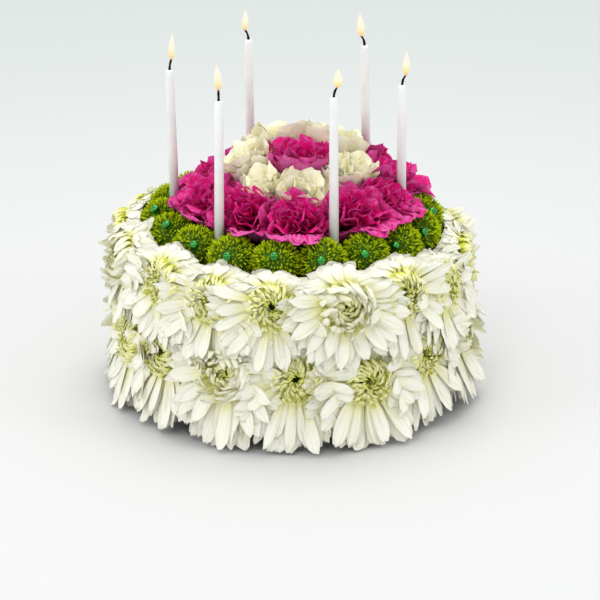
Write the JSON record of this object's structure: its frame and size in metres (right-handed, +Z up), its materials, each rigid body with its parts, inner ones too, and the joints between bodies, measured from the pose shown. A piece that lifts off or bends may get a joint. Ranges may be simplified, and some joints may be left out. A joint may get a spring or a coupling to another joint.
{
  "type": "floral birthday cake with candles",
  "caption": "Round birthday cake arranged from flower heads on a foam drum: white sides, green rim, magenta and cream domed top, slim white candles.",
  "frame": {"origin": "centre of the foam drum's flat base, on the surface that the cake stands on", "axes": "+Z up through the middle of the dome; -Y is the front; +X is to the right seen from the front"},
  "size_m": [0.2292, 0.2291, 0.2051],
  "materials": {
    "floral_foam": "matt, finely porous, wet",
    "white_petals": "soft satin petals, pale yellow-green at the heart",
    "green_buttons": "matt, fine tight florets",
    "magenta_petals": "velvety ruffled petals with paler edges",
    "cream_petals": "soft ruffled petals",
    "candle_wax": "smooth wax, slightly translucent"
  },
  "bodies": {
    "root": {"foam_drum": "floral_foam", "white_mum_upper_01": "white_petals", "white_mum_upper_02": "white_petals", "white_mum_upper_03": "white_petals", "white_mum_upper_04": "white_petals", "white_mum_upper_05": "white_petals", "white_mum_upper_06": "white_petals", "white_mum_upper_07": "white_petals", "white_mum_upper_08": "white_petals", "white_mum_upper_09": "white_petals", "white_mum_upper_10": "white_petals", "white_mum_upper_11": "white_petals", "white_mum_upper_12": "white_petals", "white_mum_upper_13": "white_petals", "white_mum_upper_14": "white_petals", "white_mum_upper_15": "white_petals", "white_mum_upper_16": "white_petals", "white_mum_lower_01": "white_petals", "white_mum_lower_02": "white_petals", "white_mum_lower_03": "white_petals", "white_mum_lower_04": "white_petals", "white_mum_lower_05": "white_petals", "white_mum_lower_06": "white_petals", "white_mum_lower_07": "white_petals", "white_mum_lower_08": "white_petals", "white_mum_lower_09": "white_petals", "white_mum_lower_10": "white_petals", "white_mum_lower_11": "white_petals", "white_mum_lower_12": "white_petals", "white_mum_lower_13": "white_petals", "white_mum_lower_14": "white_petals", "white_mum_lower_15": "white_petals", "white_mum_lower_16": "white_petals", "green_button_arc_1": "green_buttons", "green_button_arc_2": "green_buttons", "green_button_arc_3": "green_buttons", "magenta_carnation_01": "magenta_petals", "magenta_carnation_02": "magenta_petals", "magenta_carnation_03": "magenta_petals", "magenta_carnation_04": "magenta_petals", "magenta_carnation_05": "magenta_petals", "magenta_carnation_06": "magenta_petals", "magenta_carnation_07": "magenta_petals", "magenta_carnation_08": "magenta_petals", "magenta_carnation_09": "magenta_petals", "magenta_carnation_10": "magenta_petals", "magenta_carnation_11": "magenta_petals", "middle_carnation": "magenta_petals", "cream_carnation_01": "cream_petals", "cream_carnation_02": "cream_petals", "cream_carnation_03": "cream_petals", "cream_carnation_04": "cream_petals", "cream_carnation_05": "cream_petals", "cream_carnation_06": "cream_petals", "candle_1": "candle_wax", "candle_2": "candle_wax", "candle_3": "candle_wax", "candle_4": "candle_wax", "candle_5": "candle_wax", "candle_6": "candle_wax"}
  },
  "joints": []
}
